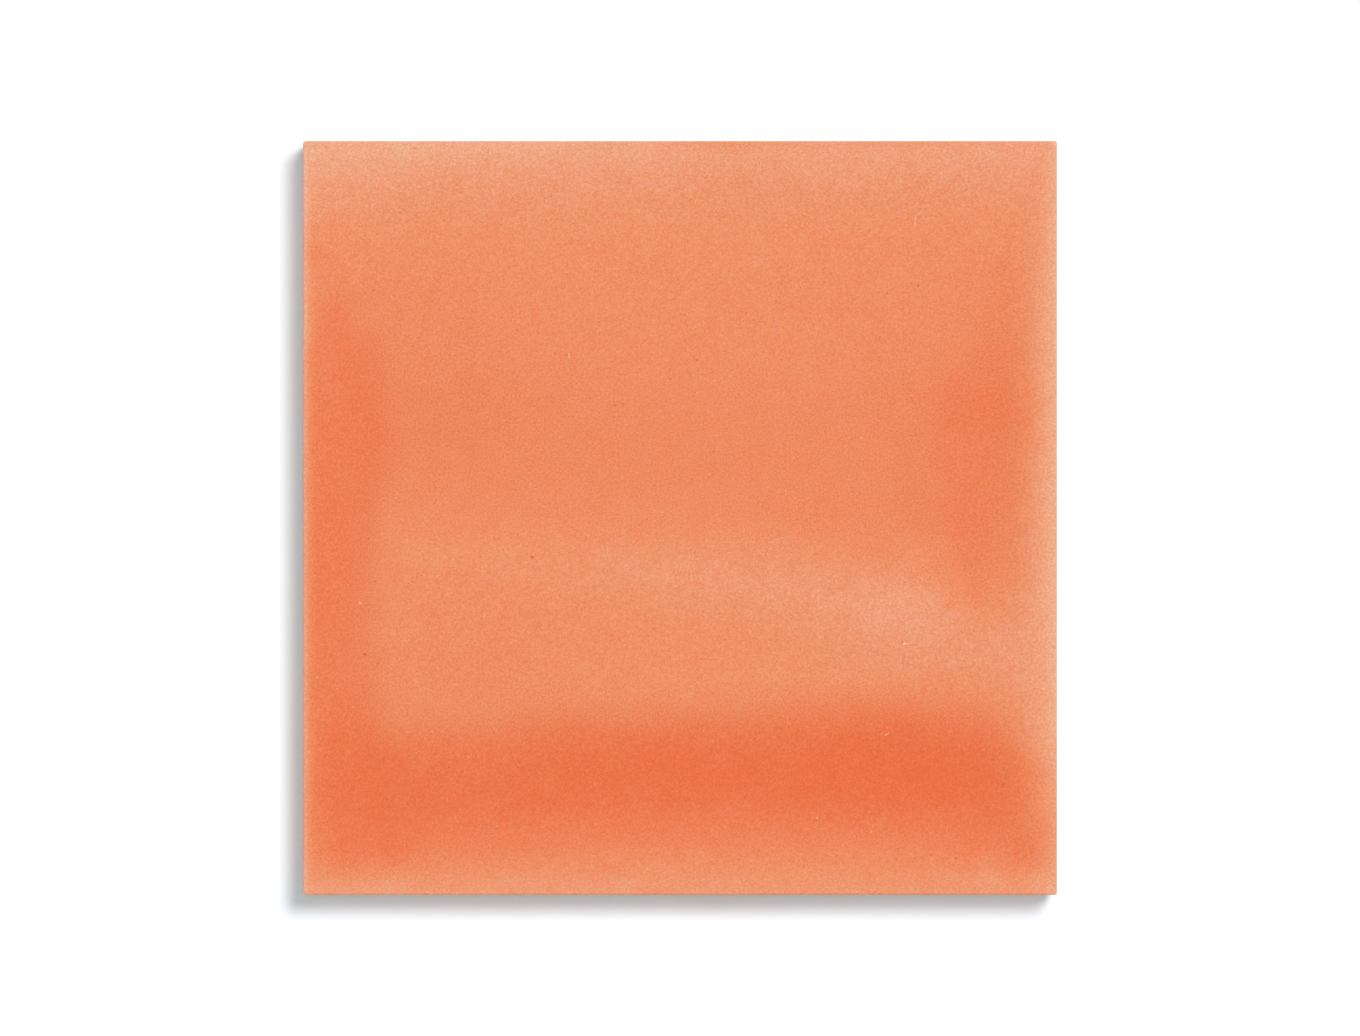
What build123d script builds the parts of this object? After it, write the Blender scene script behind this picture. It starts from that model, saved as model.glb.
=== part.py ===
from build123d import *
import os
from math import cos, exp, hypot, pi, radians, tan
from typing import NamedTuple

# Square glazed ceramic wall tile with a hand-made look, pressed and fired as one piece.
# It lies on its back: the bedding plane is z = 0, the glazed face looks up along +Z, and
# the origin is the middle of the back. Lengths are in millimetres, angles in degrees.

# Overall sizes, measured over the joint edges and from the bedding plane to the rim
FACE_WIDTH = 100.0
FACE_HEIGHT = 100.0
THICKNESS = 8.0

# Section of the sides
ARRIS_RADIUS = 0.4  # where the face turns down into the joint edge
JOINT_EDGE_HEIGHT = 4.2  # upright band that faces the grout joint
SIDE_DRAFT = 6.0  # lean of the side below that band, so that the tile leaves its die
CORNER_RADIUS = 0.3  # plan corners

# Key pattern pressed into the back, which adhesive grips
KEY_ROWS = 6  # pockets along each side
KEY_BORDER = 3.6  # plain land round the pattern
KEY_LAND = 2.5  # land left between two pockets
KEY_DEPTH = 0.8
KEY_WALL_DRAFT = 25.0  # lean of a pocket's walls
KEY_CORNER_RADIUS = 2.0

# Level rim of the face, and how far inside it the waves reach their full depth
RIM_WIDTH = 1.5
RIM_FALL = 7.0

# How far the whole field inside the rim lies below it
FIELD_DEPTH = 0.12

# Hollows of the face, each along a line between two ends that are set out from the edges
LONG_CHANNEL_FROM_BOTTOM = 15.5
LONG_CHANNEL_FROM_LEFT = 9.0
LONG_CHANNEL_FROM_RIGHT = 14.0
LONG_CHANNEL_HALF_WIDTH = 7.5
LONG_CHANNEL_SOFTNESS = 1.8
LONG_CHANNEL_DEPTH = 0.3

SIDE_CHANNEL_FROM_LEFT = 5.5
SIDE_CHANNEL_FROM_TOP = 24.0
SIDE_CHANNEL_FROM_BOTTOM = 20.0
SIDE_CHANNEL_HALF_WIDTH = 3.6
SIDE_CHANNEL_SOFTNESS = 1.2
SIDE_CHANNEL_DEPTH = 0.16

SIDE_POOL_FROM_RIGHT = 9.5
SIDE_POOL_FROM_TOP = 32.0
SIDE_POOL_FROM_BOTTOM = 46.0
SIDE_POOL_HALF_WIDTH = 4.5
SIDE_POOL_SOFTNESS = 1.6
SIDE_POOL_DEPTH = 0.15

MIDDLE_DISH_FROM_SIDES = 18.0
MIDDLE_DISH_FROM_TOP = 42.0
MIDDLE_DISH_HALF_WIDTH = 10.0
MIDDLE_DISH_SOFTNESS = 4.0
MIDDLE_DISH_DEPTH = 0.1

# Ridge between the dish and the long channel, and the knoll that stands on its right half
RIDGE_LEFT_END_FROM_LEFT = 22.0
RIDGE_LEFT_END_FROM_TOP = 55.5
RIDGE_RIGHT_END_FROM_RIGHT = 10.0
RIDGE_RIGHT_END_FROM_TOP = 66.5
RIDGE_HALF_WIDTH = 3.0
RIDGE_SOFTNESS = 2.0
RIDGE_HEIGHT = 0.06

KNOLL_FROM_RIGHT = 19.5
KNOLL_FROM_TOP = 62.5
KNOLL_LENGTH = 5.0
KNOLL_HALF_WIDTH = 2.8
KNOLL_SOFTNESS = 1.6
KNOLL_HEIGHT = 0.05

# Spacing of the points that the face is fitted through, and how closely it is fitted
FACE_POINT_SPACING = 2.0
FACE_FIT = 0.005
FACE_DEGREE = 3

# Edges of the face
LEFT, RIGHT = -FACE_WIDTH / 2, FACE_WIDTH / 2
BOTTOM, TOP = -FACE_HEIGHT / 2, FACE_HEIGHT / 2

# Lower end of the joint edge, and how far the draft takes the back in from it
DRAFT_HEIGHT = THICKNESS - ARRIS_RADIUS - JOINT_EDGE_HEIGHT
DRAFT_INSET = DRAFT_HEIGHT * tan(radians(SIDE_DRAFT))

# Room above the rim, so that a cutting solid ends clear of the face
CLEAR_ABOVE = 1.0


class Wave(NamedTuple):
    """A soft-edged trough along a straight line, or a ridge where its depth is negative."""

    start: tuple
    end: tuple
    half_width: float
    softness: float
    depth: float

    def depth_at(self, x, y):
        along_x, along_y = self.end[0] - self.start[0], self.end[1] - self.start[1]
        from_start_x, from_start_y = x - self.start[0], y - self.start[1]
        length_squared = along_x**2 + along_y**2
        share = (from_start_x * along_x + from_start_y * along_y) / length_squared
        share = min(max(share, 0.0), 1.0)
        away = hypot(from_start_x - share * along_x, from_start_y - share * along_y)
        return self.depth / (1.0 + exp((away - self.half_width) / self.softness))


def face_hollows():
    """The troughs that the glaze pools in."""
    long_channel = Wave(
        (LEFT + LONG_CHANNEL_FROM_LEFT, BOTTOM + LONG_CHANNEL_FROM_BOTTOM),
        (RIGHT - LONG_CHANNEL_FROM_RIGHT, BOTTOM + LONG_CHANNEL_FROM_BOTTOM),
        LONG_CHANNEL_HALF_WIDTH,
        LONG_CHANNEL_SOFTNESS,
        LONG_CHANNEL_DEPTH,
    )
    side_channel = Wave(
        (LEFT + SIDE_CHANNEL_FROM_LEFT, TOP - SIDE_CHANNEL_FROM_TOP),
        (LEFT + SIDE_CHANNEL_FROM_LEFT, BOTTOM + SIDE_CHANNEL_FROM_BOTTOM),
        SIDE_CHANNEL_HALF_WIDTH,
        SIDE_CHANNEL_SOFTNESS,
        SIDE_CHANNEL_DEPTH,
    )
    side_pool = Wave(
        (RIGHT - SIDE_POOL_FROM_RIGHT, TOP - SIDE_POOL_FROM_TOP),
        (RIGHT - SIDE_POOL_FROM_RIGHT, BOTTOM + SIDE_POOL_FROM_BOTTOM),
        SIDE_POOL_HALF_WIDTH,
        SIDE_POOL_SOFTNESS,
        SIDE_POOL_DEPTH,
    )
    middle_dish = Wave(
        (LEFT + MIDDLE_DISH_FROM_SIDES, TOP - MIDDLE_DISH_FROM_TOP),
        (RIGHT - MIDDLE_DISH_FROM_SIDES, TOP - MIDDLE_DISH_FROM_TOP),
        MIDDLE_DISH_HALF_WIDTH,
        MIDDLE_DISH_SOFTNESS,
        MIDDLE_DISH_DEPTH,
    )
    return [long_channel, side_channel, side_pool, middle_dish]


def face_rises():
    """The places that stand up out of the field, where the glaze runs thin."""
    ridge = Wave(
        (LEFT + RIDGE_LEFT_END_FROM_LEFT, TOP - RIDGE_LEFT_END_FROM_TOP),
        (RIGHT - RIDGE_RIGHT_END_FROM_RIGHT, TOP - RIDGE_RIGHT_END_FROM_TOP),
        RIDGE_HALF_WIDTH,
        RIDGE_SOFTNESS,
        -RIDGE_HEIGHT,
    )
    knoll = Wave(
        (RIGHT - KNOLL_FROM_RIGHT - KNOLL_LENGTH, TOP - KNOLL_FROM_TOP),
        (RIGHT - KNOLL_FROM_RIGHT, TOP - KNOLL_FROM_TOP),
        KNOLL_HALF_WIDTH,
        KNOLL_SOFTNESS,
        -KNOLL_HEIGHT,
    )
    return [ridge, knoll]


def inside_rim(x, y):
    """0 on the level rim, 1 where the waves have their full depth, and smooth between."""
    from_edge = min(x - LEFT, RIGHT - x, y - BOTTOM, TOP - y)
    share = min(max((from_edge - RIM_WIDTH) / RIM_FALL, 0.0), 1.0)
    return (1.0 - cos(pi * share)) / 2.0


def grid_lines(low, high):
    """Evenly spaced places from one spacing before low to one spacing after high."""
    count = round((high - low) / FACE_POINT_SPACING)
    step = (high - low) / count
    return [low + step * i for i in range(-1, count + 2)]


def wavy_face():
    """One smooth surface over the whole face and a little past its edges."""
    waves = face_hollows() + face_rises()
    points = []
    for x in grid_lines(LEFT, RIGHT):
        column = []
        for y in grid_lines(BOTTOM, TOP):
            depth = FIELD_DEPTH + sum(wave.depth_at(x, y) for wave in waves)
            column.append(Vector(x, y, THICKNESS - inside_rim(x, y) * depth))
        points.append(column)
    return Face.make_surface_from_array_of_points(
        points, tol=FACE_FIT, min_deg=FACE_DEGREE, max_deg=FACE_DEGREE
    )


def pressed_slab():
    """A plain slab, cut off by the wavy face and with that face's arrises rounded."""
    up = (Align.CENTER, Align.CENTER, Align.MIN)
    block = Box(FACE_WIDTH, FACE_HEIGHT, THICKNESS + CLEAR_ABOVE, align=up)
    under_face = Solid.extrude(wavy_face(), Vector(0, 0, -2 * THICKNESS))
    slab = block & under_face
    face = slab.faces().sort_by(Axis.Z)[-1]
    return fillet(face.edges(), ARRIS_RADIUS)


def die_outline():
    """What the sides of the die leave: an upright band, and a draft down to the back."""
    mouth = RectangleRounded(FACE_WIDTH, FACE_HEIGHT, CORNER_RADIUS)
    back = RectangleRounded(
        FACE_WIDTH - 2 * DRAFT_INSET, FACE_HEIGHT - 2 * DRAFT_INSET, CORNER_RADIUS
    )
    drafted = loft([back, Pos(0, 0, DRAFT_HEIGHT) * mouth], ruled=True)
    upright_height = THICKNESS + CLEAR_ABOVE - DRAFT_HEIGHT
    upright = extrude(Pos(0, 0, DRAFT_HEIGHT) * mouth, upright_height)
    return drafted + upright


def key_pockets():
    """The shallow pockets of the back, narrower at their floor than at their mouth."""
    across = FACE_WIDTH - 2 * (DRAFT_INSET + KEY_BORDER)
    along = FACE_HEIGHT - 2 * (DRAFT_INSET + KEY_BORDER)
    pitch_x = (across + KEY_LAND) / KEY_ROWS
    pitch_y = (along + KEY_LAND) / KEY_ROWS
    mouth = RectangleRounded(pitch_x - KEY_LAND, pitch_y - KEY_LAND, KEY_CORNER_RADIUS)
    pocket = extrude(mouth, KEY_DEPTH, taper=KEY_WALL_DRAFT)
    places = GridLocations(pitch_x, pitch_y, KEY_ROWS, KEY_ROWS)
    return [place * pocket for place in places]


def wall_tile():
    """The whole tile, one solid."""
    pressed = pressed_slab() & die_outline()
    return pressed - key_pockets()


def main():
    os.makedirs("parts", exist_ok=True)
    tile = wall_tile()
    tile.label = "wall_tile"
    export_step(tile, "parts/wall_tile.step")


if __name__ == "__main__":
    main()
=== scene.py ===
"""The looks of a square glazed wall tile, laid out as an add-on and run as a script.

Lengths in the settings are in metres. Inside the shape functions they are in millimetres,
because a glaze is spoken of in tenths of one, and MM takes them back to metres.
"""

from math import pi, radians, tan
from typing import NamedTuple

import bpy
import numpy as np
from bpy.props import FloatProperty, FloatVectorProperty, IntProperty, PointerProperty
from bpy.types import Operator, Panel, PropertyGroup
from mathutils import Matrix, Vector


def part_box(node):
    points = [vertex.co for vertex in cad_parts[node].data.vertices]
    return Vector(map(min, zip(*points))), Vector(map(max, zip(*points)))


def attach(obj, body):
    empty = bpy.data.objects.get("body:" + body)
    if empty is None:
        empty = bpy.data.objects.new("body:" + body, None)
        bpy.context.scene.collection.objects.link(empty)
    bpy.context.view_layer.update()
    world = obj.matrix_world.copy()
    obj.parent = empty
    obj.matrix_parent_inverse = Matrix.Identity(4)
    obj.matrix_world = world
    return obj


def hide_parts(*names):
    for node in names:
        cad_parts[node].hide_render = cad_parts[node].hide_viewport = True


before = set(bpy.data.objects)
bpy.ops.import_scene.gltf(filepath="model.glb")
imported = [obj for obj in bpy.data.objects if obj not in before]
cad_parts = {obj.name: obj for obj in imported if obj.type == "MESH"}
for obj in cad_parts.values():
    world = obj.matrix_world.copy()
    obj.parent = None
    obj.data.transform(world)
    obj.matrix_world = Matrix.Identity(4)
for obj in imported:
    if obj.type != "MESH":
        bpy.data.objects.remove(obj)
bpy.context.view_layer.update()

bl_info = {
    "name": "Glazed Wall Tile",
    "version": (1, 0, 0),
    "blender": (4, 5, 0),
    "location": "3D View > Sidebar > Wall Tile",
    "description": "Builds a hand-glazed square wall tile on its packed solid, with floor, lamps and camera",
    "category": "Add Mesh",
}

MM = 0.001  # metres in a millimetre
NODE = "wall_tile"

TILE_LOW, TILE_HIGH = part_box(NODE)
TILE_WIDTH = round(TILE_HIGH.x - TILE_LOW.x, 4)
TILE_THICKNESS = round(TILE_HIGH.z - TILE_LOW.z, 4)


class TileSizes(PropertyGroup):
    """Sizes of the pressed and fired tile."""

    width: FloatProperty(
        name="Width", description="Side of the square face", default=TILE_WIDTH, unit="LENGTH"
    )
    thickness: FloatProperty(
        name="Thickness", description="From the back to the rim", default=TILE_THICKNESS, unit="LENGTH"
    )
    arris: FloatProperty(
        name="Arris", description="Radius of the edge round the face", default=0.00025, unit="LENGTH"
    )
    corner: FloatProperty(
        name="Corner", description="Radius of the plan corners", default=0.0003, unit="LENGTH"
    )
    joint_edge: FloatProperty(
        name="Joint edge", description="Height of the upright band of a side", default=0.00435, unit="LENGTH"
    )
    draft: FloatProperty(
        name="Draft", description="Lean of the side below the band", default=radians(6), subtype="ANGLE"
    )
    glaze_skin: FloatProperty(
        name="Glaze skin", description="How far the glaze stands off the bare clay",
        default=0.00012, unit="LENGTH",
    )
    glaze_stop: FloatProperty(
        name="Glaze stop", description="Mean height above the back where the glaze ends",
        default=0.0026, unit="LENGTH",
    )
    key_rows: IntProperty(name="Key rows", description="Pockets along a side of the back", default=6)
    key_border: FloatProperty(
        name="Key border", description="Plain land round the pockets", default=0.0036, unit="LENGTH"
    )
    key_land: FloatProperty(
        name="Key land", description="Land between two pockets", default=0.0025, unit="LENGTH"
    )
    key_depth: FloatProperty(
        name="Key depth", description="Depth of the pockets", default=0.0008, unit="LENGTH"
    )
    key_corner: FloatProperty(
        name="Key corner", description="Radius of a pocket's corners", default=0.002, unit="LENGTH"
    )
    key_draft: FloatProperty(
        name="Key draft", description="Lean of a pocket's walls", default=radians(25), subtype="ANGLE"
    )


class GlazeLook(PropertyGroup):
    """Colour and finish of the glaze and the clay."""

    clay: FloatVectorProperty(
        name="Clay", description="Fired clay under the glaze", default=(0.887, 0.73, 0.614),
        subtype="COLOR", size=3, min=0, max=1,
    )
    absorption: FloatVectorProperty(
        name="Absorption", default=(0.17, 3.4, 5.3), size=3,
        description="Red, green and blue light that a millimetre of glaze takes up, as exponents",
    )
    glaze_roughness: FloatProperty(
        name="Glaze roughness", description="Roughness of the fired glaze", default=0.16, subtype="FACTOR"
    )
    veil: FloatProperty(
        name="Gloss veil", description="Share of white light that the gloss adds over the colour",
        default=0.04, subtype="FACTOR",
    )
    clay_roughness: FloatProperty(
        name="Clay roughness", description="Roughness of the bare clay", default=0.88, subtype="FACTOR"
    )


class StageLook(PropertyGroup):
    """Floor, lamps and camera."""

    camera_height: FloatProperty(
        name="Camera height", description="Camera above the floor", default=2.5136, unit="LENGTH"
    )
    lens: FloatProperty(name="Lens", description="Focal length in millimetres", default=500.0)
    key_share: FloatProperty(
        name="Key light", description="Light on a level surface from the side lamp", default=0.54
    )
    key_elevation: FloatProperty(
        name="Key elevation", description="Height of the side lamp", default=radians(66.4), subtype="ANGLE"
    )
    key_azimuth: FloatProperty(
        name="Key direction", description="Where the side lamp stands, from +X towards +Y",
        default=radians(46.9), subtype="ANGLE",
    )
    key_spread: FloatProperty(
        name="Key spread", description="Width of the side lamp in the sky, which softens its shadow",
        default=radians(19), subtype="ANGLE",
    )
    overhead_share: FloatProperty(
        name="Overhead light", description="Light on a level surface from the lamp overhead", default=0.15
    )
    overhead_spread: FloatProperty(
        name="Overhead spread", description="Width of the lamp overhead in the sky",
        default=radians(16), subtype="ANGLE",
    )
    sky_share: FloatProperty(
        name="Sky light", description="Light on a level surface from all round", default=0.31
    )
    floor_size: FloatProperty(
        name="Floor size", description="Side of the floor", default=8.0, unit="LENGTH"
    )
    floor_white: FloatProperty(
        name="Floor white", description="Share of the light that the camera sees on the floor",
        default=1.035,
    )


# Glaze, in millimetres from the middle of the tile, with y towards its top edge


class Stroke(NamedTuple):
    """A brush stroke of more or less glaze: its gain, its softness and its points (x, y, radius)."""

    gain: float
    softness: float
    points: tuple


GLAZE_BASE = 0.294  # thickness on the face before any stroke
LOWER_SIDE_GLAZE = 0.2  # thickness low on the sides
GLAZE_OF_A_RUN = 0.04  # more of it there for each millimetre that the glaze has run further down
GLAZE_STROKES = {
    "bottom pool": Stroke(
        0.135, 1.7,
        ((-45.5, -36.5, 7.2), (-36, -36.8, 7.2), (-20, -35, 7.2), (0, -34, 7.3), (28, -33.2, 7.9),
         (40, -35.2, 7.4), (47.5, -40, 7.2)),
    ),
    "shallow of the bottom pool": Stroke(-0.03, 2.5, ((-29, -34.5, 2.5), (-26, -31, 2.5))),
    "deep of the bottom pool": Stroke(0.022, 2.0, ((12, -33.5, 2), (28, -33, 4), (36, -34, 3))),
    "bottom left corner": Stroke(0.055, 1.6, ((-44.5, -44.8, 2.2), (-38, -44.6, 1))),
    "pale left end of the pool": Stroke(
        -0.055, 1.4, ((-50.5, -28, 0.6), (-49.8, -37, 2.5), (-47.5, -41.5, 1.9))
    ),
    "pale corner of the pool": Stroke(-0.028, 1.3, ((46, -39, 1.8), (42.5, -42.5, 2), (42, -47, 1))),
    "lower lip of the pool": Stroke(
        0.028, 1.1,
        ((-24, -43.6, 0.8), (-8, -43.2, 1.4), (12, -43.4, 1.5), (28, -43.8, 2.2), (38, -44.6, 1.6)),
    ),
    "thin patch in the pool": Stroke(-0.014, 1.8, ((11, -29, 1.8), (14, -34, 2), (10, -39, 1.2))),
    "deep patch in the pool": Stroke(0.014, 1.8, ((0, -32.5, 1.5), (3, -35, 1.5))),
    "upper edge of the pool, middle": Stroke(-0.015, 0.9, ((-10, -27, 0.4), (8, -27, 1), (21, -26.6, 0.8))),
    "right end of the pool": Stroke(-0.017, 1.8, ((45, -26, 2.2), (45.5, -33, 2.6))),
    "shallow above the lower lip": Stroke(
        -0.018, 1.2, ((-37, -41, 1.2), (-32, -41.3, 1), (-20, -40.5, 1.1), (8, -39, 0.8))
    ),
    "dark patch over the pool": Stroke(0.026, 1.8, ((-31, -19.5, 1.5), (-24, -19, 2.5))),
    "upper edge of the pool, right": Stroke(0.018, 1.3, ((36, -24.5, 1.2), (41, -26, 1.8))),
    "left channel": Stroke(
        0.07, 1.1,
        ((-46, 27, 1.5), (-45.5, 20, 5.2), (-45.5, 10, 6.4), (-46, 0, 5.3), (-46.5, -10, 5),
         (-46.5, -17, 5.4), (-46, -25, 6)),
    ),
    "pale patch of the elbow": Stroke(-0.022, 1.0, ((-47.5, -30, 1.2), (-45, -30.5, 0.8))),
    "deep patch of the elbow": Stroke(0.02, 1.2, ((-44, -33.5, 1.2), (-40.5, -30.5, 1.2))),
    "shallow of the left channel": Stroke(-0.014, 2.0, ((-46, 22, 3), (-44, 6, 4.5))),
    "deep along the left channel": Stroke(0.015, 0.9, ((-48, 1, 0.6), (-48, -24, 0.6))),
    "middle of the left channel": Stroke(0.018, 1.4, ((-46, 6, 0.6), (-45.5, -3, 1.6), (-46, -13, 1))),
    "haze beside the left channel": Stroke(0.014, 2.3, ((-42, 26, 2), (-40, 20, 2.5), (-37, 10, 3.5))),
    "head of the left channel": Stroke(0.022, 1.4, ((-46.3, 40.5, 0.8), (-45, 29, 1.4))),
    "spot at the left edge": Stroke(0.036, 0.9, ((-50, 35.5, 1.5), (-47.5, 34.6, 1))),
    "rim side of the right pool": Stroke(0.009, 1.2, ((46, 21, 1.2), (46, -10, 1.2))),
    "upper side of the right pool": Stroke(0.013, 2.0, ((26, 15.5, 2), (45, 16.5, 2.5))),
    "right pool": Stroke(
        0.048, 1.7, ((44, 32, 2), (43.5, 22, 4), (41.5, 14, 7), (40.6, 3, 5.6), (40.8, -6, 3))
    ),
    "deep of the right pool": Stroke(0.022, 1.4, ((38, 15.5, 2.6), (43, 14.5, 3.6))),
    "middle band": Stroke(0.03, 3.2, ((-40, 10.5, 9), (0, 8.5, 7.5), (36, 6, 8))),
    "upper field": Stroke(0.009, 4.0, ((-36, 30, 12), (0, 34, 10), (38, 32, 12))),
    "upper field, left": Stroke(0.019, 3.5, ((-33, 30, 3), (-27, 15, 5))),
    "deep beside the ridge": Stroke(0.028, 1.4, ((30, 1.5, 1.5), (36.5, -1.5, 2), (39.5, -11, 1.2))),
    "hollow left of the knoll": Stroke(0.022, 1.4, ((15, 0, 1.2), (21, 0, 1.6), (25, -4, 1))),
    "block at the top edge": Stroke(0.026, 1.4, ((3, 45.5, 2), (7.5, 45, 2.5))),
    "upper field, right": Stroke(0.013, 3.0, ((34, 40, 3), (37, 25, 3), (31, 15, 4))),
    "deep patch of the upper field": Stroke(0.012, 1.8, ((24, 31, 1.2), (26, 23, 1.5))),
    "upper field, top right": Stroke(0.011, 3.0, ((19, 43, 2.5), (32, 43, 3))),
    "top left rim": Stroke(
        -0.04, 0.9, ((-49.5, 49.8, 2.2), (-44, 49.6, 2.4), (-20, 50, 1.2), (-6, 50, 0.6))
    ),
    "top left corner": Stroke(-0.028, 2.2, ((-48.5, 45, 2.8), (-38, 45.5, 2))),
    "left rim, upper end": Stroke(-0.056, 0.9, ((-50.3, 48, 1.2), (-50.3, 38.5, 0.8))),
    # These strokes along the right and top edges add glaze in their outermost half millimetre. Part of that
    # is a thicker glaze lip, and part is painted shade that darkens the top and right edges, which the key
    # lamp lights brighter.
    "right lip with painted shade": Stroke(0.024, 0.4, ((50, 50, 0.5), (50, -50, 0.5))),
    "top lip with painted shade": Stroke(0.058, 0.45, ((-50, 50, 0.6), (50, 50, 0.6))),
    "top lip with painted shade, left half": Stroke(-0.034, 0.7, ((-37, 50, 1), (-16, 50, 1))),
    "top lip with painted shade, right half": Stroke(0.045, 0.6, ((0, 50, 0.8), (12, 50, 0.9), (37, 50, 0.7))),
    "top lip with painted shade over the block": Stroke(0.034, 0.6, ((5, 49.6, 0.7), (9, 49.6, 0.7))),
    "right rim, upper end": Stroke(0.04, 1.6, ((49, 45, 2), (48, 36, 0.6))),
    "right rim beside the pool": Stroke(-0.027, 0.8, ((48.6, 20, 0.5), (48.6, -12, 0.6))),
    "right rim, middle": Stroke(0.032, 1.1, ((49, -17.5, 0.8), (49, -23.5, 0.9))),
    "right rim under the pool": Stroke(-0.026, 0.8, ((49, -31, 0.6), (49, -38.5, 0.7))),
    "right rim, lower end": Stroke(0.014, 1.1, ((49, -42, 0.6), (48.8, -46.5, 1.4))),
    "ridge": Stroke(
        -0.034, 2.0,
        ((-34, -4.5, 1), (-12, -6.5, 2.2), (8, -8.6, 3.9), (22, -11, 4.2), (32, -14, 4.4), (46, -19, 4.5)),
    ),
    "crest of the ridge": Stroke(-0.021, 2.2, ((-6, -6.5, 1.5), (14, -8, 3), (30, -9.5, 2.5))),
    "knoll on the ridge": Stroke(-0.036, 1.4, ((27.4, -12.4, 2.6), (31, -12.6, 2.6))),
    "foot of the knoll": Stroke(-0.014, 2.0, ((16, -14.5, 1.5), (28, -17, 2.5))),
    "step above the bottom pool": Stroke(-0.022, 1.9, ((-10, -23, 1), (10, -22, 2.2), (34, -20, 2.4))),
    "pale line above the bottom edge": Stroke(
        -0.021, 0.6,
        ((-38, -48.2, 0.8), (-20, -48.2, 0.8), (0, -48.3, 0.8), (22, -47.6, 0.8), (34, -47.4, 0.7),
         (40, -48, 0.9)),
    ),
    "pale left end of the line": Stroke(-0.047, 0.6, ((-48, -48.5, 0.6), (-38.5, -48.7, 0.9))),
    "pale right end of the line": Stroke(-0.05, 0.7, ((41, -47.8, 1), (47, -48.6, 1.1))),
    "bottom lip, left half": Stroke(-0.034, 0.45, ((-49, -50, 0.7), (-42, -50, 0.5), (-6, -50, 0.4))),
}


class Thinning(NamedTuple):
    """Loss of glaze along an edge: the share lost there, how far in it reaches, and how sharply it ends."""

    side: str
    loss: float
    reach: float
    power: float


GLAZE_THINNING = (
    Thinning("left", 0.53, 0.8, 1.35),
    Thinning("right", 0.48, 3.2, 1.1),
    Thinning("bottom", 0.145, 2.2, 1.2),
    Thinning("top", 0.36, 7.5, 1.0),
)


class Mark(NamedTuple):
    """A small oval mark in the glaze: its place, half length, half width, direction in degrees and gain."""

    x: float
    y: float
    half_length: float
    half_width: float
    turn: float
    gain: float


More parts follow.
